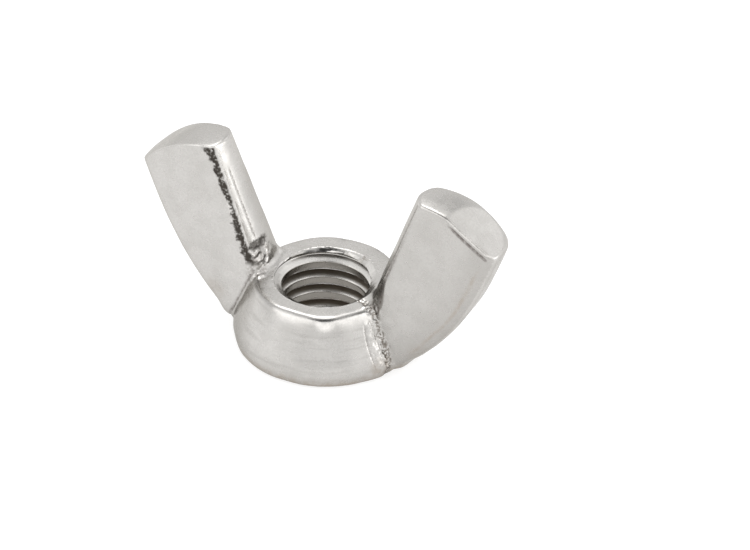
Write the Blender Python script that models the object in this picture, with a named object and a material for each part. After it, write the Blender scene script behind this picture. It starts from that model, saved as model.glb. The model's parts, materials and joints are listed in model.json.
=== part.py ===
"""Wing nut, 5/16-18 UNC: one forged body with a conical hub, two flared wings and a tapped bore.

Frame: metres, +Z up along the thread axis, +X along the wings. The origin is on the axis at the
bearing face, so the nut stands on z = 0.
"""

import math

import bmesh
import bpy
from mathutils import Vector

MM = 0.001

# Thread: 5/16-18 UNC, right hand
THREAD_MAJOR_RADIUS = 3.97 * MM
THREAD_MINOR_RADIUS = 3.35 * MM
THREAD_PITCH = 25.4 / 18 * MM
THREAD_ROOT_FLAT = THREAD_PITCH / 8
THREAD_FLANK_ANGLE = math.radians(30)
THREAD_START_ANGLE = math.radians(118)
THREAD_CREST_LOW_Z = 1.05 * MM          # underside of a crest at the start angle
THREAD_STEPS_PER_TURN = 48
THREAD_TURNS = 9
THREAD_TURNS_BELOW = 3                  # the tap starts this many turns under that crest

# Hub: a truncated cone with rolled edges
HUB_HEIGHT = 5.35 * MM
HUB_RADIUS = 7.12 * MM                  # widest, just above the bearing face
HUB_WIDEST_Z = 1.1 * MM
BEARING_RADIUS = 6.8 * MM               # flat bearing face
RIM_RADIUS = 5.15 * MM                  # flat top face
SHOULDER_RADIUS = 5.65 * MM             # where the cone meets the rolled rim
SHOULDER_Z = 4.95 * MM
HUB_STEPS = 96
ROLL_STEPS = 4

# Countersinks at both mouths of the bore
MOUTH_RADIUS = 3.98 * MM
MOUTH_DEPTH = 0.45 * MM
CUTTER_OVERSHOOT = 0.4 * MM

# Wings: the right wing's outline as (x, z)
WING_ROOT_INNER = Vector((4.6, 2.2)) * MM
WING_RIM_INNER = Vector((4.85, 5.3)) * MM
WING_TIP_INNER = Vector((8.57, 15.4)) * MM
WING_ROOT_OUTER = Vector((6.9, 0.4)) * MM
WING_BELLY_LOW = Vector((10.15, 2.1)) * MM      # controls of the outer edge's cubic curve
WING_BELLY_HIGH = Vector((13.15, 7.4)) * MM
WING_TIP_OUTER = Vector((14.8, 12.35)) * MM
WING_RIM_FRACTION = 0.25                # share of a wing's length that lies in the hub
WING_TIP_DOME = 0.8 * MM                # how far the tip arches above a straight edge
WING_INNER_CROWN = 0.4 * MM             # how far the inner edge's face bulges
WING_OUTER_CROWN = 0.05 * MM

# Wings: distance of each face from y = 0 at the inner edge, the middle and the outer edge
FRONT_AT_ROOT = Vector((2.35, 2.5, 1.95)) * MM
FRONT_AT_TIP = Vector((1.68, 1.88, 1.8)) * MM
BACK_AT_ROOT = Vector((2.0, 2.15, 1.9)) * MM
BACK_AT_TIP = Vector((1.3, 1.66, 1.16)) * MM

# Wings: corner radii of the cross-section
FRONT_INNER_CORNER = 0.25 * MM
FRONT_OUTER_CORNER = 0.85 * MM
BACK_INNER_CORNER = 0.45 * MM
BACK_OUTER_CORNER = 0.75 * MM

WING_SECTIONS = 14
FACE_STEPS = 5
CORNER_STEPS = 3
EDGE_FRACTIONS = (0.25, 0.5, 0.75)
TIP_CROWN = 0.12 * MM
TIP_CROWN_SIZE = 0.8                    # scale of the raised ring on the tip

PLATING_COLOUR = (0.62, 0.60, 0.57, 1.0)
PLATING_ROUGHNESS = 0.28
SHARP_ANGLE = math.radians(35)


def clear_scene():
    for old in list(bpy.data.objects):
        bpy.data.objects.remove(old, do_unlink=True)


def plated_steel():
    material = bpy.data.materials.new("plated_steel")
    material.use_nodes = True
    shader = material.node_tree.nodes["Principled BSDF"]
    shader.inputs["Base Color"].default_value = PLATING_COLOUR
    shader.inputs["Metallic"].default_value = 1.0
    shader.inputs["Roughness"].default_value = PLATING_ROUGHNESS
    return material


def object_from_mesh(mesh_data, name):
    """Turn the bmesh into a named object with its faces pointing out."""
    bmesh.ops.recalc_face_normals(mesh_data, faces=mesh_data.faces)
    mesh = bpy.data.meshes.new(name)
    mesh_data.to_mesh(mesh)
    mesh_data.free()
    made = bpy.data.objects.new(name, mesh)
    bpy.context.collection.objects.link(made)
    return made


def join_rings(mesh_data, rings):
    """Bridge each closed ring of vertices to the next."""
    for low, high in zip(rings, rings[1:]):
        for step in range(len(low)):
            after = (step + 1) % len(low)
            mesh_data.faces.new((low[step], low[after], high[after], high[step]))


# Hub and bore

def rolled_edge(start, corner, end):
    """Points of a quadratic curve from start to end, pulled towards corner."""
    points = []
    for step in range(ROLL_STEPS + 1):
        t = step / ROLL_STEPS
        points.append(tuple(
            (1 - t) ** 2 * a + 2 * t * (1 - t) * b + t ** 2 * c
            for a, b, c in zip(start, corner, end)
        ))
    return points


def turned_solid(profile, name):
    """Turn a profile of (radius, z) points about Z and close it with a flat disc at each end."""
    mesh_data = bmesh.new()
    rings = []
    for radius, height in profile:
        ring = []
        for step in range(HUB_STEPS):
            angle = 2 * math.pi * step / HUB_STEPS
            ring.append(mesh_data.verts.new((radius * math.cos(angle), radius * math.sin(angle), height)))
        rings.append(ring)
    join_rings(mesh_data, rings)
    mesh_data.faces.new(rings[0])
    mesh_data.faces.new(rings[-1])
    return object_from_mesh(mesh_data, name)


def hub():
    """The conical hub, still without its bore."""
    heel = rolled_edge((BEARING_RADIUS, 0.0), (HUB_RADIUS, 0.0), (HUB_RADIUS, HUB_WIDEST_Z))
    shoulder = rolled_edge((SHOULDER_RADIUS, SHOULDER_Z), (SHOULDER_RADIUS - 0.15 * MM, HUB_HEIGHT),
                           (RIM_RADIUS, HUB_HEIGHT))
    return turned_solid(heel + shoulder, "wing_nut")


def countersink(face_z, into_body, name):
    """A cone that opens the bore to the mouth radius; into_body is -1 at the top face, 1 at the base."""
    slope = (MOUTH_RADIUS - THREAD_MINOR_RADIUS) / MOUTH_DEPTH
    tip_depth = MOUTH_DEPTH * 1.5
    tip = (MOUTH_RADIUS - slope * tip_depth, face_z + into_body * tip_depth)
    outside = (MOUTH_RADIUS + slope * CUTTER_OVERSHOOT, face_z - into_body * CUTTER_OVERSHOOT)
    return turned_solid([tip, outside], name)


def tap():
    """The thread's own solid: a core of the minor radius and the helical ridge that cuts the groove."""
    flank = (THREAD_MAJOR_RADIUS - THREAD_MINOR_RADIUS) * math.tan(THREAD_FLANK_ANGLE)
    crest = THREAD_PITCH - THREAD_ROOT_FLAT - 2 * flank
    profile = [
        (THREAD_MINOR_RADIUS, 0.0),
        (THREAD_MINOR_RADIUS, crest),
        (THREAD_MAJOR_RADIUS, crest + flank),
        (THREAD_MAJOR_RADIUS, crest + flank + THREAD_ROOT_FLAT),
    ]
    turn = THREAD_STEPS_PER_TURN
    last = THREAD_TURNS * turn
    start_z = THREAD_CREST_LOW_Z - THREAD_TURNS_BELOW * THREAD_PITCH
    mesh_data = bmesh.new()
    columns = []
    for step in range(last + 1):
        angle = THREAD_START_ANGLE + 2 * math.pi * step / turn
        rise = start_z + THREAD_PITCH * step / turn
        columns.append([
            mesh_data.verts.new((radius * math.cos(angle), radius * math.sin(angle), rise + offset))
            for radius, offset in profile
        ])
    # The upper edge of a column meets the lower edge of the column one turn later
    for step in range(last):
        here, after = columns[step], columns[step + 1]
        for level in range(len(profile) - 1):
            mesh_data.faces.new((here[level], after[level], after[level + 1], here[level + 1]))
        if step + 1 + turn <= last:
            mesh_data.faces.new((here[-1], after[-1], columns[step + 1 + turn][0], columns[step + turn][0]))
    low_rim = [column[0] for column in columns[:turn + 1]] + columns[0][:0:-1]
    high_rim = [column[-1] for column in columns[last - turn:]] + columns[last][-2::-1]
    for rim, centre_z in ((low_rim, start_z), (high_rim, start_z + (THREAD_TURNS + 1) * THREAD_PITCH)):
        centre = mesh_data.verts.new((0.0, 0.0, centre_z))
        for here, after in zip(rim, rim[1:] + rim[:1]):
            mesh_data.faces.new((centre, here, after))
    return object_from_mesh(mesh_data, "thread_tap")


# Wings

def through_three(values, t):
    """The quadratic that takes values[0], values[1] and values[2] at t = -1, 0 and 1."""
    return values[0] * t * (t - 1) / 2 + values[1] * (1 - t * t) + values[2] * t * (t + 1) / 2


def wing_edges(fraction):
    """The inner and outer edge of the right wing at a fraction of the way from root to tip."""
    if fraction < WING_RIM_FRACTION:
        inner = WING_ROOT_INNER.lerp(WING_RIM_INNER, fraction / WING_RIM_FRACTION)
    else:
        above_rim = (fraction - WING_RIM_FRACTION) / (1 - WING_RIM_FRACTION)
        inner = WING_RIM_INNER.lerp(WING_TIP_INNER, above_rim)
    rest = 1 - fraction
    outer = (rest ** 3 * WING_ROOT_OUTER + 3 * fraction * rest ** 2 * WING_BELLY_LOW
             + 3 * fraction ** 2 * rest * WING_BELLY_HIGH + fraction ** 3 * WING_TIP_OUTER)
    return inner, outer


def face_outline(half_width, distances, inner_corner, outer_corner):
    """One face of a cross-section from its inner to its outer edge, as (across, distance from y = 0)."""
    points = []
    start = -half_width + inner_corner
    end = half_width - outer_corner
    for step in range(CORNER_STEPS):
        angle = math.pi / 2 * step / CORNER_STEPS
        points.append((start - inner_corner * math.cos(angle),
                       through_three(distances, start / half_width) - inner_corner * (1 - math.sin(angle))))
    for step in range(FACE_STEPS + 1):
        across = start + (end - start) * step / FACE_STEPS
        points.append((across, through_three(distances, across / half_width)))
    for step in range(1, CORNER_STEPS + 1):
        angle = math.pi / 2 * step / CORNER_STEPS
        points.append((end + outer_corner * math.sin(angle),
                       through_three(distances, end / half_width) - outer_corner * (1 - math.cos(angle))))
    return points


def edge_outline(start, end, crown):
    """Points between two corners, bulging sideways by the crown."""
    points = []
    for fraction in EDGE_FRACTIONS:
        bulge = crown * 4 * fraction * (1 - fraction)
        points.append((start[0] + bulge, start[1] + (end[1] - start[1]) * fraction))
    return points


def section_outline(half_width, fraction):
    """The closed cross-section of a wing as (across, y) points."""
    front = face_outline(half_width, FRONT_AT_ROOT.lerp(FRONT_AT_TIP, fraction),
                         FRONT_INNER_CORNER, FRONT_OUTER_CORNER)
    back = face_outline(half_width, BACK_AT_ROOT.lerp(BACK_AT_TIP, fraction),
                        BACK_INNER_CORNER, BACK_OUTER_CORNER)
    front = [(across, -distance) for across, distance in front]
    outer = edge_outline(front[-1], back[-1], WING_OUTER_CROWN)
    inner = edge_outline(back[0], front[0], -WING_INNER_CROWN)
    return front + outer + back[::-1] + inner


def section_ring(mesh_data, fraction, side, size=1.0, lift=0.0):
    """One ring of a wing's skin; size shrinks it, and lift moves it out past the tip."""
    inner, outer = wing_edges(fraction)
    middle = (inner + outer) / 2
    half_width = (outer - inner).length / 2
    along = (outer - inner).normalized()
    outward = Vector((-along.y, along.x))
    ring = []
    for across, y in section_outline(half_width, fraction):
        arch = WING_TIP_DOME * fraction * (1 - min(1.0, (across / half_width) ** 2))
        place = middle + along * across * size + outward * (arch + lift)
        ring.append(mesh_data.verts.new((side * place.x, y * size, place.y)))
    return ring


def cap_tip(mesh_data, ring):
    """Close the arched tip with strips that run from the front face's points to the back face's."""
    face_points = 2 * CORNER_STEPS + FACE_STEPS + 1
    edge_points = len(EDGE_FRACTIONS)
    front = ring[:face_points]
    outer = ring[face_points:face_points + edge_points]
    back = ring[face_points + edge_points:2 * face_points + edge_points][::-1]
    inner = ring[2 * face_points + edge_points:]
    for step in range(face_points - 1):
        mesh_data.faces.new((front[step], front[step + 1], back[step + 1], back[step]))
    mesh_data.faces.new([front[-1]] + outer + [back[-1]])
    mesh_data.faces.new([back[0]] + inner + [front[0]])


def wing(side, name):
    """A wing as a loft of its cross-sections, closed inside the hub and crowned at the tip."""
    mesh_data = bmesh.new()
    rings = [section_ring(mesh_data, step / WING_SECTIONS, side) for step in range(WING_SECTIONS + 1)]
    rings.append(section_ring(mesh_data, 1.0, side, TIP_CROWN_SIZE, TIP_CROWN))
    join_rings(mesh_data, rings)
    mesh_data.faces.new(rings[0])
    cap_tip(mesh_data, rings[-1])
    return object_from_mesh(mesh_data, name)


# Assembly of the one body

def combine(target, tool, operation):
    """Add a Boolean whose tool object stays hidden."""
    tool.hide_render = True
    tool.display_type = "WIRE"
    modifier = target.modifiers.new(tool.name, "BOOLEAN")
    modifier.operation = operation
    modifier.solver = "EXACT"
    modifier.object = tool


def build_wing_nut():
    nut = hub()
    combine(nut, wing(1, "right_wing_blank"), "UNION")
    combine(nut, wing(-1, "left_wing_blank"), "UNION")
    combine(nut, tap(), "DIFFERENCE")
    combine(nut, countersink(HUB_HEIGHT, -1, "top_countersink"), "DIFFERENCE")
    combine(nut, countersink(0.0, 1, "base_countersink"), "DIFFERENCE")
    nut.data.materials.append(plated_steel())
    nut.data.shade_smooth()
    nut.data.set_sharp_from_angle(angle=SHARP_ANGLE)


clear_scene()
build_wing_nut()
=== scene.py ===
"""Looks for the wing nut: a plated steel forging, made as an implicit surface, with a tapped bore."""

import json
import math

import bmesh
import bpy
import numpy as np
from mathutils import Matrix, Vector, noise


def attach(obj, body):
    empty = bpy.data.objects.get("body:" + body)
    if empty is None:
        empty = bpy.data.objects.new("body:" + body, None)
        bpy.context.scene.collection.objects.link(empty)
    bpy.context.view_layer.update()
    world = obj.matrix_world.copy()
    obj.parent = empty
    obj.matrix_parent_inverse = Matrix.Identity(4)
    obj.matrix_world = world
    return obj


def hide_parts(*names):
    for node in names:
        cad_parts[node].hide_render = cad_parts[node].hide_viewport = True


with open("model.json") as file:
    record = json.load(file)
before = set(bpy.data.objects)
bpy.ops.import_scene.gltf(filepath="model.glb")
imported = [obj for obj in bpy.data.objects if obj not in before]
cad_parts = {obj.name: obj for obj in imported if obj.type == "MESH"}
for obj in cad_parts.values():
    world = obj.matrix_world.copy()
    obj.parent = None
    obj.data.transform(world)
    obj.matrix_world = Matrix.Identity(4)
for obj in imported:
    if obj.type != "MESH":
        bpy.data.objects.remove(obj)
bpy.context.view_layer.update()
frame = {"record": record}

MM = 0.001

# Sampling of the implicit surface, in mm
GRID_STEP = 0.145
GRID_LOW = (-15.2, -7.6, -0.5)
GRID_HIGH = (15.2, 7.6, 16.0)
SETTLE_ROUNDS = 6
BUSY_LEVEL = 0.05                    # faces with a mark stronger than this are split in four
SHARP_ANGLE = math.radians(50)

# Hub, in mm: the CAD model's driving sizes, with finer sizes for the rim and the heel
HUB_HEIGHT = frame["record"]["mounts"][1]["pos_m"][2] / MM
HUB_RADIUS = 7.12
HUB_WIDEST_Z = 1.1
HEEL_RADIUS = 6.85
HEEL_ROUND = 0.3
SHOULDER_RADIUS = 5.65
SHOULDER_Z = 4.95
WAIST_Z = 1.45                       # where the cone eases into the widest part
WAIST_BLEND = 0.12
RIM_RADIUS = 5.4
RIM_BACK_GROWTH = 0.14               # how much further the rim reaches at the back
RIM_ROUND = 0.2
SHOULDER_BLEND = 0.35
# Flats that the die left around the rim: azimuth from the front, distance from the axis
RIM_FLATS = ((0, 5.1), (54, 5.06), (-52, 5.36), (180, 5.6), (232, 5.5), (128, 5.62))
RIM_FLAT_SLOPE = math.radians(45)
RIM_FLAT_BLEND = 0.05
CONE_FLAT_CUT = 0.05                 # how far each flat also cuts into the cone below it
CONE_FLAT_BLEND = 0.12
CONE_SCALE = 0.93                    # cosine of the cone's slope

# Wings, in mm: the CAD model's driving sizes. The low wing is at negative x, the high wing at positive x
WING_RIM_INNER = np.array((4.85, 5.3))
WING_TIP_INNER = np.array((8.57, 15.4))
WING_OUTER_CURVE = np.array([(6.9, 0.4), (10.15, 2.1), (13.15, 7.4), (14.8, 12.35)])
WING_LOW_END = -4.2                  # along the inner edge, from the rim
WING_TAPER = (-3.9, 14.4)            # where the faces start to taper along the wing, and over what length
HIGH_OUTER_BULGE = (0.12, 6.5)       # how far the outer edge stands out, and at what height
LOW_OUTER_BULGE = (-0.07, 10.5)
OUTER_BULGE_REACH = 3
WING_TIP_DOME = 0.8
WING_INNER_CROWN = (0.42, 0.6)       # low and high side
ROOT_CORNER_EASE = 0.5               # how far the high wing's front inner corner draws back at its root
ROOT_EASE_HEIGHTS = (8.2, 5.6)       # from no ease to full ease
TIP_CROWN = 0.12
FRONT_AT_ROOT = np.array((2.35, 2.5, 1.95))
FRONT_AT_TIP = np.array((1.68, 1.88, 1.8))
BACK_AT_ROOT = np.array((2.0, 2.15, 1.9))
BACK_AT_TIP = np.array((1.3, 1.66, 1.16))
FRONT_INNER_CORNER = 0.25
FRONT_OUTER_CORNER = 0.85
BACK_INNER_CORNER = 0.45
BACK_OUTER_CORNER = 0.75
TIP_CORNER = (0.13, 0.24)            # low and high side
ROOT_FILLET = 0.35                   # along the wings' front and back faces
EDGE_FILLET = 1.3                    # below the outer edges, and behind the inner edges
INNER_FILLET = 0.45                  # where the inner edges meet the rim
TIP_LIFT = 0.05                      # how much higher the tips stand than their curve
# Flat on the high wing's tip, in the tip's own plane: height, slope along the tip, slope from front to back
TIP_FLAT = (0.74, -0.15, 0.13)
TIP_FLAT_BLEND = 0.05
BASE_ROUND = 0.12                    # around the underside, where the wings reach the floor

# Small dents: centre, radius and depth; a negative depth stands out
DENTS = (((12.7, -2.0, 12.6), 0.22, 0.06), ((11.1, -2.15, 10.3), 0.32, 0.05), ((9.4, -2.2, 8.1), 0.9, 0.05),
         ((10.6, -2.1, 6.8), 0.8, -0.04), ((-4.3, -2.9, 5.35), 0.25, 0.05), ((2.0, 4.95, 5.35), 0.2, 0.06),
         ((-1.1, 5.15, 5.3), 0.18, 0.07), ((6.2, -3.3, 0.9), 1.3, -0.14), ((-7.4, -1.8, 1.3), 0.8, -0.25),
         ((2.3, -4.85, 5.4), 0.6, 0.05), ((2.75, -5.4, 4.2), 1.1, -0.1), ((1.8, -5.9, 2.9), 0.9, 0.04),
         ((-3.2, -5.4, 2.2), 1.1, 0.04))

# Brown stains: centre, radius and strength
STAINS = (((6.2, -3.2, 1.0), 1.1, 0.75), ((-8.4, -2.0, 3.0), 1.1, 0.4), ((9.0, -2.0, 2.2), 1.3, 0.3),
          ((11.4, -1.9, 4.6), 1.0, 0.25))

# Torn flash at the roots of the wings
STRIP_AZIMUTH = math.radians(68)     # the trimmed strip beside the high wing's root, from the front
STUB_CENTRE = np.array((-5.75, -0.65, 7.2))
STUB_REACH = np.array((0.9, 1.5, 0.62))
ROOT_CORNER = np.array((5.0, -1.9, 5.4))
BURR_REACH = 0.5                     # from the inner corner onto the front face
BURR_GAP_Z = 10.6                    # where the burr is thinnest
STRIP_WIDTH = 0.9
STRIP_BOW = 0.4                      # how much wider the strip is half way up
STRIP_LOW_Z = 0.3
STRIP_LENGTH = 4.9                   # in height
CREASE_Y = -1.1                      # the fine crease up the low wing's inner face

# Relief of each mark, in mm: level, then shares of rough and of fine noise
RELIEF = {"burr": (-0.05, 0.05, 0.04), "stub": (-0.08, 0.05, 0.03), "strip": (0.06, 0.035, 0.015),
          "flash": (-0.05, 0.07, 0.06), "border": (-0.03, 0, 0), "seam_and_shade": (-0.05, -0.03, 0),
          "crease": (-0.05, 0, 0), "ridge": (0.03, 0, 0), "edge": (-0.03, 0, 0), "lip": (-0.08, 0, 0)}
FOLD_HEIGHT = 0.08
FOLD_ROUGHNESS = 0.04
COARSE_SWELL = 0.022
MEDIUM_SWELL = 0.009

# Thread, in mm: 5/16-18 UNC, right hand
MAJOR_RADIUS = 3.97
MINOR_RADIUS = 3.35
PITCH = 25.4 / 18
MOUTH_RADIUS = 3.95
LOW_MOUTH_RADIUS = 3.55
MOUTH_DEPTH = 0.45
LIP_DEPTH = 0.05                     # the mouth's edge flares over this depth
LIP_GAIN = 12                        # how strongly it flares
CLEAR_RADIUS = 4.15                  # the cutter's radius past both faces
THREAD_STEPS_PER_TURN = 160
THREAD_TURNS = 7
THREAD_TURNS_BELOW = 2               # turns of the cutter that start below the floor
THREAD_START_ANGLE = math.radians(118)
CREST_LOW_Z = 1.05                   # height of one crest at the start angle
FLANK_ANGLE = math.radians(30)
CORNER_SOFTNESS = 0.035
SOFTNESS_SAMPLES = 9

# Colours of the plating and of each mark on it, painted shade and painted highlights among them
# Painted shade: darkening on the cone and the wing faces, on the bore's crests, in the thread roots, below
# the rim's edge, in the root valleys and under the high tip's lip. Painted highlight: the thread flanks and
# a strip on the low wing's inner face
COLORS = {
    "plate": (0.535, 0.521, 0.502, 1), "cloud": (0.49, 0.477, 0.457, 1), "grain": (0.41, 0.398, 0.38, 1),
    "streak": (0.4, 0.388, 0.37, 1), "painted_shade": (0.37, 0.356, 0.337, 1), "tint": (0.34, 0.295, 0.25, 1),
    "flash": (0.16, 0.14, 0.12, 1), "seam_and_shade": (0.13, 0.11, 0.1, 1), "rim": (0.2, 0.195, 0.19, 1),
    "bore": (0.26, 0.242, 0.215, 1), "painted_highlight": (0.66, 0.645, 0.62, 1), "thread": (0.16, 0.132, 0.1, 1),
    "burr": (0.06, 0.053, 0.046, 1)}
GLANCING_TINT = (0.7, 0.69, 0.67, 1)
BUMP_STRENGTH = 0.3
BUMP_HEIGHT = 0.03                   # mm

# Camera at the photograph's viewing angle: degrees and mm
VIEW_AZIMUTH = 27.93
VIEW_ELEVATION = 35.06
VIEW_ROLL = -0.54
VIEW_CENTRE = (0, 0, 6.12)
VIEW_DISTANCE = 290.2
AIM_RIGHT = 3.704                    # the object sits left of the picture's middle, and a little above it
AIM_DOWN = 0.490
LENS = 184.84
NEAR_LIMIT = 0.01                    # m
FAR_LIMIT = 10

# Light tent: panels as azimuth from the front, elevation, radius and softness in degrees, and brightness
TENT_LEVEL = 1.1
PANELS = ((208, 66, 15, 5, 4.4), (185, 46, 14, 8, 0.85), (210, 33, 13, 6, 1.06), (-34, 44, 20, 8, 2.2),
          (28, 40, 22, 6, 2.0), (85, 44, 18, 8, 2.2), (-93, 18, 16, 8, 1.4), (-34, 8, 16, 8, 1.3),
          (85, 8, 18, 8, 1.35), (28, 0, 18, 8, 1.0), (140, 34, 14, 6, 1.4), (106, 4, 14, 6, 3.3),
          (80, 60, 9, 4, 0.15), (-24, 60, 9, 4, 0.3), (28, 64, 17, 4, 0.06))
FLOOR_HALF_WIDTH = 0.6               # m
FLOOR_COLOR = (0.45, 0.45, 0.45, 1)
FLOOR_GLOW = 0.67


# Implicit surface: negative inside the metal

def round_max(a, b, radius):
    """Intersection of two shapes with a convex rounding of this radius."""
    return (np.minimum(-radius, np.maximum(a, b))
            + np.hypot(np.maximum(radius + a, 0), np.maximum(radius + b, 0)))


def round_min(a, b, radius):
    """Union of two shapes with a concave fillet of this radius."""
    return -round_max(-a, -b, radius)


def smooth_max(a, b, blend):
    """Intersection of two shapes that meet at a shallow angle, eased over this distance."""
    near = np.maximum(blend - np.abs(a - b), 0) / blend
    return np.maximum(a, b) + near ** 2 * blend / 4


def smooth_step(low, high, value):
    """0 at low and below, 1 at high and above, or the other way round when low is the greater."""
    share = np.clip((value - low) / (high - low), 0, 1)
    return share * share * (3 - 2 * share)


def band(value, centre, width):
    """1 at the centre, falling to 0 over about this width on both sides."""
    return np.exp(-((value - centre) / width) ** 2)


def through_three(values, t):
    """The quadratic that passes through the three values at t = -1, 0 and 1."""
    return values[0] * t * (t - 1) / 2 + values[1] * (1 - t * t) + values[2] * t * (t + 1) / 2


def outer_edge_table():
    """The wing's outer edge as x and its slope at rising z."""
    samples = 400
    run_on = 300                     # samples by which the edge goes straight on past both ends
    s = np.linspace(0, 1, samples)[:, None]
    a, b, c, d = WING_OUTER_CURVE
    points = (1 - s) ** 3 * a + 3 * s * (1 - s) ** 2 * b + 3 * s ** 2 * (1 - s) * c + s ** 3 * d
    low_end = points[0] + (points[0] - points[1]) * run_on
    high_end = points[-1] + (points[-1] - points[-2]) * run_on
    points = np.vstack([low_end, points, high_end])
    slope = np.gradient(points[:, 0], points[:, 1])
    return points[:, 1], points[:, 0], slope


OUTER_Z, OUTER_X, OUTER_SLOPE = outer_edge_table()


def wing_sides(along, across):
    """How far the wing's front and back faces stand from y = 0."""
    start, length = WING_TAPER
    share = np.clip((along - start) / length, 0, 1)
    front = through_three([a + (b - a) * share for a, b in zip(FRONT_AT_ROOT, FRONT_AT_TIP)], across)
    back = through_three([a + (b - a) * share for a, b in zip(BACK_AT_ROOT, BACK_AT_TIP)], across)
    return front, back


def tip_distance(x, y, z, off_middle, high_side):
    """Signed distance to the wing's domed tip, which is flattened on the high wing."""
    middle = (WING_TIP_INNER + WING_OUTER_CURVE[3]) / 2
    reach = (WING_OUTER_CURVE[3] - WING_TIP_INNER) / 2
    half = np.linalg.norm(reach)
    along = reach / half
    out = np.array((-along[1], along[0]))
    place = (x - middle[0]) * along[0] + (z - middle[1]) * along[1]
    height = (x - middle[0]) * out[0] + (z - middle[1]) * out[1]
    arch = WING_TIP_DOME * (1 - (place / half) ** 2)
    arch_slope = -2 * WING_TIP_DOME * place / half ** 2
    tip = (height - arch - TIP_CROWN * (1 - off_middle ** 2)) / np.hypot(1, arch_slope)
    level, slope_along, slope_back = TIP_FLAT
    flat = (height - level - slope_along * place - slope_back * y) / np.hypot(1, slope_along)
    return np.where(high_side, smooth_max(tip, flat, TIP_FLAT_BLEND), tip)


def wing_fields(x, y, z):
    """Signed distances to each face of the nearer wing, on either side of the axis, and place along it."""
    high_side = x > 0
    x = np.abs(x)
    up = WING_TIP_INNER - WING_RIM_INNER
    up = up / np.linalg.norm(up)
    out = np.array((up[1], -up[0]))
    from_inner = (x - WING_RIM_INNER[0]) * out[0] + (z - WING_RIM_INNER[1]) * out[1]
    along = (x - WING_RIM_INNER[0]) * up[0] + (z - WING_RIM_INNER[1]) * up[1]
    bulges = [bulge * band(z, height, OUTER_BULGE_REACH)
              for bulge, height in (HIGH_OUTER_BULGE, LOW_OUTER_BULGE)]
    outer = x - np.interp(z, OUTER_Z, OUTER_X) - np.where(high_side, *bulges)
    outer = outer / np.hypot(1, np.interp(z, OUTER_Z, OUTER_SLOPE))
    width = np.maximum(from_inner - outer, 0.5)                  # stays positive past the wing's ends
    across = np.clip((from_inner + outer) / width, -1.2, 1.2)    # -1 at the inner face, 1 at the outer face
    front_y, back_y = wing_sides(along, across)
    half = (back_y + front_y) / 2
    off_middle = (y - (back_y - front_y) / 2) / half
    crown = np.where(high_side, *WING_INNER_CROWN[::-1]) * (1 - off_middle ** 2)
    towards_front = np.clip(-off_middle, 0, 1.3)
    eased = ROOT_CORNER_EASE * smooth_step(*ROOT_EASE_HEIGHTS, z) * towards_front ** 2 * high_side
    return {"front": -y - front_y, "back": y - back_y, "inner": -from_inner - crown + eased, "outer": outer,
            "tip": tip_distance(x, y, z, off_middle, high_side), "along": along}


def wing_distance(x, y, z):
    """Signed distance to the nearer wing."""
    faces = wing_fields(x, y, z)
    front, back, inner, outer = (faces[name] for name in ("front", "back", "inner", "outer"))
    corners = ((front, inner, FRONT_INNER_CORNER), (front, outer, FRONT_OUTER_CORNER),
               (back, inner, BACK_INNER_CORNER), (back, outer, BACK_OUTER_CORNER))
    sides = np.max([round_max(*corner) for corner in corners], axis=0)
    body = round_max(sides, faces["tip"] - TIP_LIFT, np.where(x > 0, *TIP_CORNER[::-1]))
    return np.maximum(body, WING_LOW_END - faces["along"])


def hub_radius(z):
    """The hub's side: a cone that eases into its widest part and draws in a little at the heel."""
    taper = (HUB_RADIUS - SHOULDER_RADIUS) / (SHOULDER_Z - WAIST_Z)
    fall = (z - WAIST_Z) * taper
    cone = HUB_RADIUS - WAIST_BLEND * np.logaddexp(0, fall / WAIST_BLEND)
    low = np.clip((HUB_WIDEST_Z - z) / HUB_WIDEST_Z, 0, 1.3)
    return cone - (HUB_RADIUS - HEEL_RADIUS) * low ** 2


def hub_distance(x, y, z):
    """Signed distance to the hub without its bore."""
    radius = np.hypot(x, y)
    cone = hub_radius(z)
    side = (radius - cone) * CONE_SCALE
    towards_back = smooth_step(-1.5, 3.0, y)
    rim = RIM_RADIUS + RIM_BACK_GROWTH * towards_back
    top = (radius - rim) * math.cos(RIM_FLAT_SLOPE) + (z - HUB_HEIGHT) * math.sin(RIM_FLAT_SLOPE)
    for azimuth, reach in RIM_FLATS:
        along = x * math.sin(math.radians(azimuth)) - y * math.cos(math.radians(azimuth))
        flat = (along - reach) * math.cos(RIM_FLAT_SLOPE) + (z - HUB_HEIGHT) * math.sin(RIM_FLAT_SLOPE)
        top = smooth_max(top, flat, RIM_FLAT_BLEND)
        side = smooth_max(side, (along - cone + CONE_FLAT_CUT) * CONE_SCALE, CONE_FLAT_BLEND)
    side = smooth_max(side, top, SHOULDER_BLEND)
    side = round_max(side, z - HUB_HEIGHT, RIM_ROUND)
    return round_max(side, -z, HEEL_ROUND)


def nut_distance(x, y, z):
    """Signed distance to the hub and both wings, joined by fillets."""
    at_rim = smooth_step(3.8, 4.8, z) * smooth_step(1.9, 1.0, y)
    edge = EDGE_FILLET + (INNER_FILLET - EDGE_FILLET) * at_rim
    off_faces = smooth_step(2.1, 1.2, np.abs(y))
    fillet = ROOT_FILLET + (edge - ROOT_FILLET) * off_faces
    body = round_min(hub_distance(x, y, z), wing_distance(x, y, z), fillet)
    return round_max(body, -z, BASE_ROUND)


# Surface from the samples

CORNERS = np.array([(i, j, k) for i in (0, 1) for j in (0, 1) for k in (0, 1)])


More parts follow.
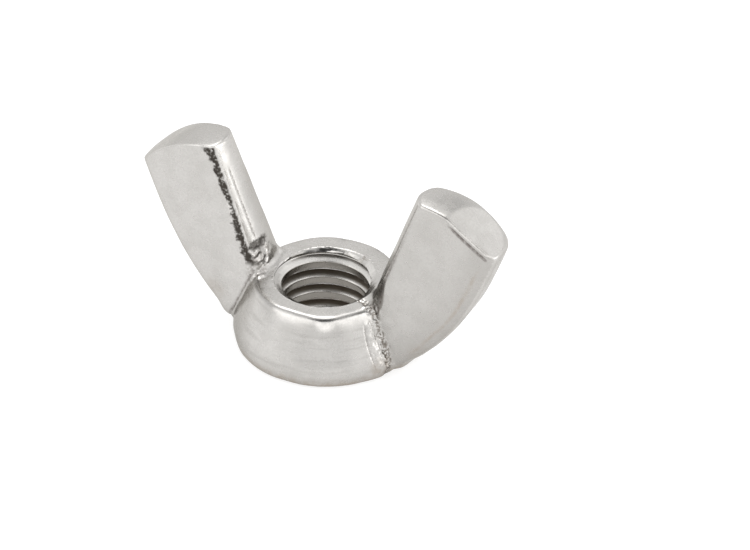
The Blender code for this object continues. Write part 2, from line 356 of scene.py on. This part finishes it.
def surface_nets(distance, low, high, step):
    """Points and quads of the surface where distance is zero: one point for each cell that it crosses."""
    axes = [np.arange(a, b + step, step) for a, b in zip(low, high)]
    values = distance(*np.meshgrid(*axes, indexing="ij"))
    inside = values < 0
    counts = np.zeros(tuple(n - 1 for n in values.shape), int)
    for corner in CORNERS:
        counts += inside[tuple(slice(c, c + n) for c, n in zip(corner, counts.shape))]
    cells = np.argwhere((counts > 0) & (counts < 8))
    number = np.full(counts.shape, -1)
    number[tuple(cells.T)] = np.arange(len(cells))
    samples = [values[tuple((cells + corner).T)] for corner in CORNERS]
    total = np.zeros((len(cells), 3))
    crossings = np.zeros(len(cells))
    for a in range(8):
        for b in range(a + 1, 8):
            if np.abs(CORNERS[a] - CORNERS[b]).sum() != 1:
                continue
            crossed = (samples[a] < 0) != (samples[b] < 0)
            share = np.where(crossed, samples[a] / np.where(crossed, samples[a] - samples[b], 1), 0)
            total += np.where(crossed[:, None], CORNERS[a] + share[:, None] * (CORNERS[b] - CORNERS[a]), 0)
            crossings += crossed
    points = (cells + total / crossings[:, None]) * step + np.array(low)
    quads = []
    for axis in range(3):
        u, v = (axis + 1) % 3, (axis + 2) % 3
        here = np.moveaxis(inside, axis, 0)
        change = np.moveaxis(here[:-1] != here[1:], 0, axis)
        at = np.argwhere(change)
        at = at[(at[:, u] > 0) & (at[:, v] > 0)]
        leaving = inside[tuple(at.T)]
        du, dv = np.eye(3, dtype=int)[u], np.eye(3, dtype=int)[v]
        ring = [number[tuple((at - s * du - t * dv).T)] for s, t in ((1, 1), (0, 1), (0, 0), (1, 0))]
        ring = np.stack(ring, 1)
        quads.append(np.where(leaving[:, None], ring, ring[:, ::-1]))
    return points, np.vstack(quads)


def gradient(distance, points, reach=0.01):
    slopes = []
    for axis in range(3):
        ahead, behind = points.copy(), points.copy()
        ahead[:, axis] += reach
        behind[:, axis] -= reach
        slopes.append((distance(*ahead.T) - distance(*behind.T)) / (2 * reach))
    return np.stack(slopes, 1)


def settle(distance, points, quads, rounds):
    """Even out the points along the surface, and pull each one back onto it."""
    ends = np.vstack([quads[:, [k, (k + 1) % 4]] for k in range(4)])
    degree = np.bincount(ends[:, 0], minlength=len(points)) + np.bincount(ends[:, 1], minlength=len(points))
    for _ in range(rounds):
        total = np.zeros_like(points)
        for axis in range(3):
            total[:, axis] = (np.bincount(ends[:, 0], points[ends[:, 1], axis], len(points))
                              + np.bincount(ends[:, 1], points[ends[:, 0], axis], len(points)))
        slope = gradient(distance, points)
        size = np.maximum(np.linalg.norm(slope, axis=1, keepdims=True), 1e-6)
        normal = slope / size
        move = total / degree[:, None] - points
        move -= normal * (move * normal).sum(1, keepdims=True)
        points = points + 0.5 * move
        points = points - (distance(*points.T)[:, None] / size) * normal
    return points


def mesh_object(name, points, faces):
    mesh = bpy.data.meshes.new(name)
    mesh.from_pydata((points * MM).tolist(), [], faces)
    made = bpy.data.objects.new(name, mesh)
    bpy.context.collection.objects.link(made)
    return made


def refine(distance, points, quads, chosen):
    """Split the chosen faces in four, and put the new points on the surface."""
    made = mesh_object("refined", points, quads)
    data = bmesh.new()
    data.from_mesh(made.data)
    data.faces.ensure_lookup_table()
    edges = {edge for index in np.flatnonzero(chosen) for edge in data.faces[index].edges}
    edges = sorted(edges, key=lambda edge: edge.index)
    bmesh.ops.subdivide_edges(data, edges=edges, cuts=1, use_grid_fill=True)
    points = np.array([vert.co for vert in data.verts]) / MM
    faces = [[vert.index for vert in face.verts] for face in data.faces]
    data.free()
    bpy.data.objects.remove(made, do_unlink=True)
    for _ in range(2):
        slope = gradient(distance, points)
        points = points - distance(*points.T)[:, None] * slope / (slope ** 2).sum(1, keepdims=True)
    return points, faces


# Relief of the forging and its trimmed flash

def noise_at(points, size, seed):
    """Smooth noise from -1 to 1, with features of about this size in mm."""
    shift = Vector((17.3, 5.1, 9.7)) * seed
    return np.array([noise.noise(Vector(point) / size + shift) for point in points])


class Place:
    """Where points lie on the forging, and the noise that breaks up the marks there."""

    def __init__(self, points):
        self.points = points
        self.x, self.y, self.z = points.T
        self.low_wing = self.x < 0
        self.front_side = self.y < 0
        self.high_front = ~self.low_wing & self.front_side
        self.faces = wing_fields(self.x, self.y, self.z)
        self.from_corner = np.maximum(-self.faces["inner"], 0)
        self.hub = hub_distance(self.x, self.y, self.z)
        self.wing = wing_distance(self.x, self.y, self.z)
        self.rough = noise_at(points, 0.45, 1)
        self.fine = noise_at(points, 0.16, 2)


def burr_marks(at):
    """The burr down the front inner corner of the low wing, and the torn stub at its root."""
    near_tip = smooth_step(14.2, 15.3, at.z)
    reach = BURR_REACH + 0.2 * at.rough + 0.18 * at.fine + 0.4 * near_tip
    reach -= 0.33 * band(at.z, BURR_GAP_Z, 0.8)
    on_front = smooth_step(0.2, 0.12, -at.faces["front"])
    above_root = smooth_step(5.9, 6.4, at.z)
    below_tip = smooth_step(0.0, -0.12, at.faces["tip"])
    burr = smooth_step(reach + 0.07, reach - 0.03, at.from_corner) * on_front
    burr *= above_root * below_tip * at.low_wing * at.front_side
    from_stub = np.linalg.norm((at.points - STUB_CENTRE) / STUB_REACH, axis=1)
    stub = smooth_step(1.05, 0.7, from_stub + 0.2 * at.rough + 0.15 * at.fine) * at.low_wing
    return {"burr": burr, "stub": stub}


def root_marks(at):
    """The joins where the wings meet the hub, darkened with painted shade in the valley there, and the
    trimmed flash beside the high wing's root.
    """
    arc = (STRIP_AZIMUTH - np.arctan2(at.x, -at.y)) * np.hypot(at.x, at.y)
    beside = smooth_step(0.45, 0.2, at.hub) * smooth_step(5.7, 5.3, at.z) * at.high_front
    from_root = smooth_step(-0.4, -0.15, arc + 0.15 * at.rough)
    flash = from_root * smooth_step(0.45, 0.15, arc + 0.2 * at.rough) * beside
    bow = np.sin(math.pi * np.clip((at.z - STRIP_LOW_Z) / STRIP_LENGTH, 0, 1))
    strip_edge = STRIP_WIDTH + STRIP_BOW * bow
    strip = smooth_step(-0.3, -0.1, arc) * smooth_step(strip_edge, strip_edge - 0.07, arc) * beside
    strip *= smooth_step(0.2, 0.5, bow)
    border = band(arc + 0.05 * at.rough, 0.5, 0.05) + band(arc, strip_edge, 0.06)
    border = np.minimum(border, 1) * beside * smooth_step(0.2, 0.6, bow) * (at.hub < 0.1)
    near_root = smooth_step(0.9, 0.3, at.hub + at.wing) * smooth_step(5.6, 5.2, at.z)
    # Painted shade in the valley where wing and hub meet
    seam_and_shade = band(at.wing - at.hub, -0.2, 0.09) * near_root * smooth_step(0.1, 0.6, at.z)
    seam_and_shade *= at.low_wing | ~at.front_side
    return {"flash": flash, "strip": strip, "border": border, "seam_and_shade": seam_and_shade}


def fold_marks(at):
    """Folds in the metal at the low wing's inner root and at the front corner of both roots."""
    along = at.faces["along"]
    inner_root = smooth_step(2.6, 1.2, along + 0.5 * at.rough) * smooth_step(-0.5, -0.1, at.faces["inner"])
    inner_root *= smooth_step(0.1, 0.4, along)
    mirrored = np.stack([np.abs(at.x), at.y, at.z], 1)
    from_root_corner = np.linalg.norm(mirrored - ROOT_CORNER, axis=1)
    root_corner = smooth_step(0.95, 0.45, from_root_corner + 0.2 * at.rough)
    crumple = np.maximum(inner_root * smooth_step(0.6, -0.2, at.y) * at.low_wing, root_corner)
    folds = 1 - 2 * np.abs(noise_at(at.points, 0.75, 7))
    return {"crumple": crumple, "folds": folds, "fold_line": crumple * smooth_step(0.72, 0.95, folds)}


def inner_face_marks(at):
    """The fine crease up the low wing's inner face, and a strip of painted highlight in front of it."""
    waver = 0.05 * noise_at(at.points, 2.0, 8)
    crease = band(at.y + waver, CREASE_Y, 0.05) * (at.from_corner < 0.7) * at.low_wing
    crease *= smooth_step(7.4, 8.4, at.z) * smooth_step(13.9, 12.9, at.z)
    glint = smooth_step(-0.7, -1.3, at.y) * smooth_step(-0.5, -0.2, at.faces["inner"]) * at.low_wing
    glint *= smooth_step(7.2, 7.8, at.z)
    return {"crease": crease, "glint": glint}


def on_high_front(at):
    """True on the front face of the high wing, clear of the hub."""
    return at.high_front & (np.abs(at.faces["front"]) < 0.3) & (at.hub > 0.2)


def front_face_marks(at):
    """A ridge, a dark inner edge, and a line of painted shade below the tip, on the high wing's front face.
    """
    waver = 0.25 * noise_at(at.points, 2.2, 9)
    ridge = band(at.faces["outer"] + waver, -0.9, 0.16)
    ridge *= smooth_step(1.6, 3.0, at.z) * smooth_step(12.0, 10.0, at.z)
    edge = band(at.from_corner, 0.12, 0.09) * smooth_step(14.5, 7.0, at.z)
    # Painted shade: a dark line under the tip's lip
    lip = band(at.faces["tip"], -0.3, 0.11) * smooth_step(10.9, 11.5, at.x) * smooth_step(14.3, 14.0, at.x)
    on_front = on_high_front(at)
    return {"ridge": ridge * on_front, "edge": edge * on_front, "lip": lip * on_front}


def plating_marks(at):
    """Painted shade: darker towards the outer edge and the foot of the high wing's front face, over the low
    wing's inner face, and on the cone's left side and foot; and where the plating is streaked.
    """
    front = 0.3 + 0.28 * smooth_step(-3.0, -1.0, at.faces["outer"]) + 0.12 * smooth_step(8, 3, at.z)
    inner = 0.55 * smooth_step(15, 11, at.z) * (at.faces["inner"] > -0.4)
    inner *= smooth_step(-1.0, 0.6, at.y) * at.low_wing * smooth_step(0.1, 0.5, at.hub)
    cone = 0.5 * smooth_step(-3.0, -5.5, at.x) + 0.3 * smooth_step(2.6, 0.5, at.z)
    on_cone = smooth_step(0.3, 0.05, at.hub) * (at.z < SHOULDER_Z)
    painted_shade = np.minimum(front * on_high_front(at) + inner + cone * on_cone, 1)
    return {"painted_shade": painted_shade, "streak": on_cone}


def zones(points):
    """How strongly each kind of mark is present at each point, from 0 to 1, and the height of the folds."""
    at = Place(points)
    return {**burr_marks(at), **root_marks(at), **fold_marks(at), **inner_face_marks(at),
            **front_face_marks(at), **plating_marks(at)}


def relief(points):
    """How far each point of the surface stands out, in mm."""
    zone = zones(points)
    height = COARSE_SWELL * noise_at(points, 2.6, 3) + MEDIUM_SWELL * noise_at(points, 0.9, 4)
    rough = noise_at(points, 0.32, 5)
    fine = noise_at(points, 0.16, 6)
    for name, (level, rough_share, fine_share) in RELIEF.items():
        height += zone[name] * (level + rough_share * rough + fine_share * fine)
    height += zone["crumple"] * (FOLD_HEIGHT * zone["folds"] + FOLD_ROUGHNESS * rough)
    for centre, radius, depth in DENTS:
        away = np.linalg.norm(points - np.array(centre), axis=1) / radius
        height -= depth * np.exp(-away ** 2)
    return height


# Thread cutter

def thread_levels():
    """Axial offsets over one pitch, closer together at the corners of the thread form, and their radii."""
    flank = (MAJOR_RADIUS - MINOR_RADIUS) * math.tan(FLANK_ANGLE)
    root = PITCH / 8
    crest = PITCH - root - 2 * flank
    corners = np.array([0, crest, crest + flank, crest + flank + root, PITCH])
    radii = [MINOR_RADIUS, MINOR_RADIUS, MAJOR_RADIUS, MAJOR_RADIUS, MINOR_RADIUS]
    soft = CORNER_SOFTNESS
    offsets = np.unique(np.concatenate(
        [corners[:-1] + shift for shift in (0, soft, 2 * soft)]
        + [corners[1:] - shift for shift in (soft, 2 * soft)]
        + [(corners[:-1] + corners[1:]) / 2]))
    offsets = offsets[offsets < PITCH - 1e-6]
    spread = np.linspace(-soft, soft, SOFTNESS_SAMPLES)
    form = [np.interp(np.mod(offsets + shift, PITCH), corners, radii) for shift in spread]
    return offsets, np.mean(form, axis=0)


def bore_radius(thread_radius, height):
    """The thread's radius, opened out by the countersinks and kept to a plain cylinder past both faces."""
    slope = (MOUTH_RADIUS - MINOR_RADIUS) / MOUTH_DEPTH
    radius = thread_radius
    for depth, mouth in ((HUB_HEIGHT - height, MOUTH_RADIUS), (height, LOW_MOUTH_RADIUS)):
        lip = LIP_GAIN * np.clip(LIP_DEPTH - depth, 0, LIP_DEPTH) ** 2
        radius = np.maximum(radius, np.minimum(mouth - depth * slope + lip, CLEAR_RADIUS))
    return radius


def bore_cutter():
    """The tapped hole with its countersinks, as one closed solid."""
    offsets, radii = thread_levels()
    levels = len(offsets)
    turn = THREAD_STEPS_PER_TURN
    last = THREAD_TURNS * turn
    step = np.arange(last + 1)[:, None]
    angle = THREAD_START_ANGLE + 2 * math.pi * step / turn
    height = CREST_LOW_Z - THREAD_TURNS_BELOW * PITCH + PITCH * step / turn + offsets
    radius = bore_radius(radii[None], height)
    points = np.stack([radius * np.cos(angle), radius * np.sin(angle), height], -1).reshape(-1, 3)
    number = np.arange(len(points)).reshape(last + 1, levels)
    faces = []
    for level in range(levels - 1):
        faces.append(np.stack([number[:-1, level], number[1:, level], number[1:, level + 1],
                               number[:-1, level + 1]], 1))
    faces.append(np.stack([number[:-1 - turn, -1], number[1:-turn, -1], number[turn + 1:, 0],
                           number[turn:-1, 0]], 1))
    quads = np.vstack(faces).tolist()
    low_rim = list(number[:turn + 1, 0]) + list(number[0, :0:-1])
    high_rim = list(number[last - turn:, -1]) + list(number[last, -2::-1])
    for rim, centre_z in ((low_rim, height.min()), (high_rim, height.max())):
        centre = len(points)
        points = np.vstack([points, (0, 0, centre_z)])
        quads += [(centre, int(here), int(after)) for here, after in zip(rim, rim[1:] + rim[:1])]
    made = mesh_object("bore_cutter", points, quads)
    outward(made)
    return made


def outward(made):
    """Point every face of a closed mesh out."""
    data = bmesh.new()
    data.from_mesh(made.data)
    bmesh.ops.recalc_face_normals(data, faces=data.faces)
    data.to_mesh(made.data)
    data.free()


def cut(made, cutter):
    """Cut a hole, keep the result as plain mesh, and remove the cutter."""
    modifier = made.modifiers.new("bore", "BOOLEAN")
    modifier.operation = "DIFFERENCE"
    modifier.solver = "MANIFOLD"
    modifier.object = cutter
    bpy.context.view_layer.update()
    result = bpy.data.meshes.new_from_object(made.evaluated_get(bpy.context.evaluated_depsgraph_get()))
    made.modifiers.clear()
    made.data = result
    bpy.data.objects.remove(cutter, do_unlink=True)


# Camera

def toward(azimuth, elevation):
    """Unit vector with azimuth from the front, turning towards +X, and elevation above the floor."""
    azimuth, elevation = math.radians(azimuth), math.radians(elevation)
    return Vector((math.sin(azimuth) * math.cos(elevation), -math.cos(azimuth) * math.cos(elevation),
                   math.sin(elevation)))


def view_camera():
    """Camera at the photograph's viewing angle."""
    azimuth, roll = math.radians(VIEW_AZIMUTH), math.radians(VIEW_ROLL)
    target = Vector(VIEW_CENTRE) * MM
    back = toward(VIEW_AZIMUTH, VIEW_ELEVATION)
    right = Vector((math.cos(azimuth), math.sin(azimuth), 0))
    up = back.cross(right)
    right, up = math.cos(roll) * right + math.sin(roll) * up, -math.sin(roll) * right + math.cos(roll) * up
    aim = target + (AIM_RIGHT * right - AIM_DOWN * up) * MM
    place = target + back * (VIEW_DISTANCE * MM)
    back = (place - aim).normalized()
    right = up.cross(back).normalized()
    up = back.cross(right)
    data = bpy.data.cameras.new("camera")
    data.lens = LENS
    data.clip_start = NEAR_LIMIT
    data.clip_end = FAR_LIMIT
    camera = bpy.data.objects.new("camera", data)
    camera.matrix_world = Matrix((
        (right.x, up.x, back.x, place.x),
        (right.y, up.y, back.y, place.y),
        (right.z, up.z, back.z, place.z),
        (0, 0, 0, 1)))
    bpy.context.collection.objects.link(camera)
    bpy.context.scene.camera = camera


# Materials

class Nodes:
    """Short forms for the few nodes that the material uses."""

    def __init__(self, tree):
        self.tree = tree
        self.place = self.add("ShaderNodeTexCoord").outputs["Object"]

    def add(self, kind, **settings):
        node = self.tree.nodes.new(kind)
        for name, value in settings.items():
            setattr(node, name, value)
        return node

    def feed(self, socket, value):
        """Link a socket, or set a number, to an input."""
        if isinstance(value, bpy.types.NodeSocket):
            self.tree.links.new(value, socket)
        else:
            socket.default_value = value

    def math(self, operation, a, b=0.0):
        node = self.add("ShaderNodeMath", operation=operation)
        self.feed(node.inputs[0], a)
        self.feed(node.inputs[1], b)
        return node.outputs[0]

    def noise(self, size, detail=2.0, stretch=(1, 1, 1)):
        """Noise with features of about this size in mm."""
        mapping = self.add("ShaderNodeMapping")
        self.feed(mapping.inputs["Vector"], self.place)
        mapping.inputs["Scale"].default_value = Vector(stretch) / (size * MM)
        node = self.add("ShaderNodeTexNoise")
        self.feed(node.inputs["Vector"], mapping.outputs[0])
        node.inputs["Scale"].default_value = 1.0
        node.inputs["Detail"].default_value = detail
        return node.outputs["Fac"]

    def ramp(self, value, low, high, start=0.0, end=1.0):
        """Ease from start to end as the value goes from low to high."""
        node = self.add("ShaderNodeMapRange", interpolation_type="SMOOTHSTEP")
        for name, number in (("Value", value), ("From Min", low), ("From Max", high),
                             ("To Min", start), ("To Max", end)):
            self.feed(node.inputs[name], number)
        return node.outputs[0]

    def mix(self, factor, a, b):
        """Mix of two colours. Inputs 6 and 7 and output 2 are the node's sockets for colour."""
        node = self.add("ShaderNodeMix", data_type="RGBA")
        self.feed(node.inputs["Factor"], factor)
        self.feed(node.inputs[6], a)
        self.feed(node.inputs[7], b)
        return node.outputs[2]

    def mark(self, name, strength=1.0):
        """A mark that the mesh carries, times a strength."""
        value = self.add("ShaderNodeAttribute", attribute_name=name).outputs["Fac"]
        return self.math("MULTIPLY", value, strength)


def plate_color(nodes):
    """The plate's own clouds and grain, and then each mark over them."""
    clouds = nodes.ramp(nodes.noise(1.8, 3), 0.35, 0.7)
    grain = nodes.math("MULTIPLY", nodes.ramp(nodes.noise(0.16, 4), 0.35, 0.65), 0.25)
    streaks = nodes.ramp(nodes.noise(0.8, 4, (0.3, 0.3, 2.2)), 0.45, 0.7, 0.0, 0.55)
    stains = nodes.ramp(nodes.noise(0.5, 4), 0.35, 0.65, 0.3, 0.8)
    pits = nodes.ramp(nodes.noise(0.2, 4), 0.42, 0.56, 0.0, 0.9)
    seam_and_shade_mottle = nodes.ramp(nodes.noise(0.3, 3), 0.35, 0.6, 0.4, 0.85)
    fibres = nodes.ramp(nodes.noise(0.2, 3), 0.52, 0.72, 1.0, 0.3)
    color = nodes.mix(clouds, COLORS["plate"], COLORS["cloud"])
    color = nodes.mix(grain, color, COLORS["grain"])
    # Several of these marks are painted shade, and one is a painted highlight
    strengths = {"streak": streaks, "painted_shade": 1.0, "tint": stains, "flash": pits, "seam_and_shade": seam_and_shade_mottle, "rim": 0.42,
                 "bore": 0.85, "painted_highlight": 0.7, "thread": 0.9, "burr": fibres}
    for name, strength in strengths.items():
        color = nodes.mix(nodes.mark(name, strength), color, COLORS[name])
    return color


def plate_roughness(nodes):
    """Uneven plating, rougher where it is torn and in the thread, smoother in the bore's mouth."""
    roughness = nodes.ramp(nodes.noise(0.9, 4), 0.3, 0.7, 0.2, 0.32)
    for name, change in (("burr", 0.25), ("thread", 0.15), ("polish", -0.08)):
        roughness = nodes.math("ADD", roughness, nodes.mark(name, change))
    return roughness


def plate_bump(nodes):
    """Fine grain and wider swells, torn metal in the burr and flash, and ripples in the bore's mouth."""
    torn = nodes.math("MULTIPLY", nodes.math("MAXIMUM", nodes.mark("burr"), nodes.mark("flash")), 6.0)
    ripple = nodes.mark("polish", 2.5)
    height = nodes.math("MULTIPLY", nodes.noise(0.1, 3), 0.25)
    for size, detail, weight in ((0.6, 2, 0.5), (0.17, 3, torn), (0.45, 1, ripple)):
        height = nodes.math("ADD", height, nodes.math("MULTIPLY", nodes.noise(size, detail), weight))
    bump = nodes.add("ShaderNodeBump")
    bump.inputs["Strength"].default_value = BUMP_STRENGTH
    bump.inputs["Distance"].default_value = BUMP_HEIGHT * MM
    nodes.feed(bump.inputs["Height"], height)
    return bump.outputs[0]


def plated_steel():
    """Bright plating over a rough forging, darker where the flash was trimmed, with painted shade and
    painted highlights in the bore and the thread.
    """
    material = bpy.data.materials.new("plated_steel")
    material.use_nodes = True
    nodes = Nodes(material.node_tree)
    shader = material.node_tree.nodes["Principled BSDF"]
    shader.inputs["Metallic"].default_value = 1.0
    shader.inputs["Specular Tint"].default_value = GLANCING_TINT
    nodes.feed(shader.inputs["Base Color"], plate_color(nodes))
    nodes.feed(shader.inputs["Roughness"], plate_roughness(nodes))
    nodes.feed(shader.inputs["Normal"], plate_bump(nodes))
    return material


def floor_paint():
    """Matt white that glows a little, so that the floor fades into the background."""
    material = bpy.data.materials.new("floor_paint")
    material.use_nodes = True
    shader = material.node_tree.nodes["Principled BSDF"]
    shader.inputs["Base Color"].default_value = FLOOR_COLOR
    shader.inputs["Roughness"].default_value = 0.8
    shader.inputs["Specular IOR Level"].default_value = 0.1
    shader.inputs["Emission Color"].default_value = (1, 1, 1, 1)
    shader.inputs["Emission Strength"].default_value = FLOOR_GLOW
    return material


# Pieces

def stains_at(points):
    """How strongly each point is stained, from 0 to 1."""
    stain = np.zeros(len(points))
    for centre, reach, strength in STAINS:
        away = np.linalg.norm(points - np.array(centre), axis=1) / reach
        stain = np.maximum(stain, strength * smooth_step(1.2, 0.4, away))
    return stain


def bore_marks(x, y, z):
    """Painted shade on the crests and roots, painted highlight on the flanks, the polished mouth, and
    painted shade along the rim's edge.
    """
    radius = np.hypot(x, y)
    in_bore = (radius < MOUTH_RADIUS) & (z > -0.01) & (z < HUB_HEIGHT - MOUTH_DEPTH - 0.05)
    flank_end = MINOR_RADIUS + 0.14 + 0.3 * smooth_step(3.7, 4.3, z)
    # Painted highlight on the thread flanks, near each crest
    flank = in_bore * smooth_step(MINOR_RADIUS + 0.02, MINOR_RADIUS + 0.06, radius)
    flank *= smooth_step(flank_end + 0.1, flank_end - 0.1, radius)
    mouth = (radius < MOUTH_RADIUS + 0.05) & (z > HUB_HEIGHT - MOUTH_DEPTH - 0.02)
    depth = HUB_HEIGHT - z
    # Painted shade: a grey line just below the top face's outer edge, clear of the wings
    rim = smooth_step(0.02, 0.06, depth) * smooth_step(0.26, 0.14, depth) * (radius > RIM_RADIUS - 0.8)
    rim *= wing_distance(x, y, z) > 0.4
    # Painted shade on the thread crests in the bore
    crest = in_bore * smooth_step(0.07, 0.03, radius - MINOR_RADIUS)
    # Painted shade deep in the thread roots
    root = in_bore * smooth_step(flank_end, flank_end + 0.2, radius)
    return {"bore": crest, "painted_highlight": flank, "thread": root, "polish": mouth * 1.0, "rim": rim}


def marked(made):
    """Give the mesh its marks as attributes that the material reads."""
    points = np.array([vertex.co for vertex in made.data.vertices]) / MM
    x, y, z = points.T
    zone = zones(points)
    marks = bore_marks(x, y, z)
    # Painted highlight on the thread flanks and on a strip of the low wing's inner face
    marks["painted_highlight"] = np.maximum(zone["glint"], marks["painted_highlight"])
    marks["burr"] = np.maximum(zone["burr"], 0.8 * zone["stub"])
    marks["flash"] = np.maximum(zone["flash"], 0.35 * zone["crumple"])
    # Dark lines: the crease, the inner edge, the strip's border and the fold lines are the metal's own; the
    # root valleys and the line under the tip's lip are painted shade
    marks["seam_and_shade"] = np.max([zone["seam_and_shade"], zone["crease"], zone["edge"], np.minimum(1.5 * zone["lip"], 1),
                            0.3 * zone["border"], 0.5 * zone["fold_line"]], axis=0)
    heel = smooth_step(1.2, 0.1, z) * (np.hypot(x, y) > MOUTH_RADIUS)
    marks["tint"] = np.max([0.7 * zone["ridge"], heel, stains_at(points)], axis=0)
    # Painted shade over the wing faces and the cone
    marks["painted_shade"] = zone["painted_shade"]
    marks["streak"] = zone["streak"]
    for name, values in marks.items():
        layer = made.data.attributes.new(name, "FLOAT", "POINT")
        layer.data.foreach_set("value", np.asarray(values, np.float32))


def wing_nut():
    """The whole nut as one piece: the forging with its relief, the tapped bore, the marks and the metal."""
    points, quads = surface_nets(nut_distance, GRID_LOW, GRID_HIGH, GRID_STEP)
    points = settle(nut_distance, points, quads, SETTLE_ROUNDS)
    zone = zones(points)
    broad = ("painted_shade", "glint", "streak", "folds")
    busy = np.max([zone[name] for name in zone if name not in broad], axis=0) > BUSY_LEVEL
    points, faces = refine(nut_distance, points, quads.tolist(), busy[quads].any(axis=1))
    slope = gradient(nut_distance, points)
    slope /= np.linalg.norm(slope, axis=1, keepdims=True)
    points = points + relief(points)[:, None] * slope
    points[:, 2] = np.maximum(points[:, 2], 0)
    made = mesh_object("wing_nut_body", points, faces)
    outward(made)
    cut(made, bore_cutter())
    marked(made)
    made.data.shade_smooth()
    made.data.set_sharp_from_angle(angle=SHARP_ANGLE)
    made.data.materials.clear()
    made.data.materials.append(plated_steel())
    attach(made, "root")
    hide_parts("wing_nut")


def floor():
    """White floor below the nut, for the picture only."""
    data = bmesh.new()
    bmesh.ops.create_grid(data, x_segments=2, y_segments=2, size=FLOOR_HALF_WIDTH)
    mesh = bpy.data.meshes.new("floor")
    data.to_mesh(mesh)
    data.free()
    made = bpy.data.objects.new("floor", mesh)
    mesh.materials.append(floor_paint())
    bpy.context.collection.objects.link(made)


def studio():
    """White tent around the object, with brighter panels and a few darker gaps."""
    world = bpy.data.worlds.new("studio")
    bpy.context.scene.world = world
    world.use_nodes = True
    nodes, links = world.node_tree.nodes, world.node_tree.links
    direction = nodes.new("ShaderNodeTexCoord").outputs["Generated"]
    light = None
    for azimuth, elevation, radius, soft, level in PANELS:
        dot = nodes.new("ShaderNodeVectorMath")
        dot.operation = "DOT_PRODUCT"
        dot.inputs[1].default_value = toward(azimuth, elevation)
        links.new(direction, dot.inputs[0])
        edge = nodes.new("ShaderNodeMapRange")
        edge.interpolation_type = "SMOOTHSTEP"
        edge.inputs["From Min"].default_value = math.cos(math.radians(radius + soft))
        edge.inputs["From Max"].default_value = math.cos(math.radians(max(radius - soft, 0)))
        links.new(dot.outputs["Value"], edge.inputs["Value"])
        mix = nodes.new("ShaderNodeMix")
        mix.inputs["A"].default_value = TENT_LEVEL
        mix.inputs["B"].default_value = level
        links.new(edge.outputs["Result"], mix.inputs["Factor"])
        if light is not None:
            links.new(light, mix.inputs["A"])
        light = mix.outputs["Result"]
    nodes["Background"].inputs["Color"].default_value = (1, 1, 1, 1)
    links.new(light, nodes["Background"].inputs["Strength"])
    bpy.context.scene.view_settings.view_transform = "Standard"


view_camera()
studio()
floor()
wing_nut()
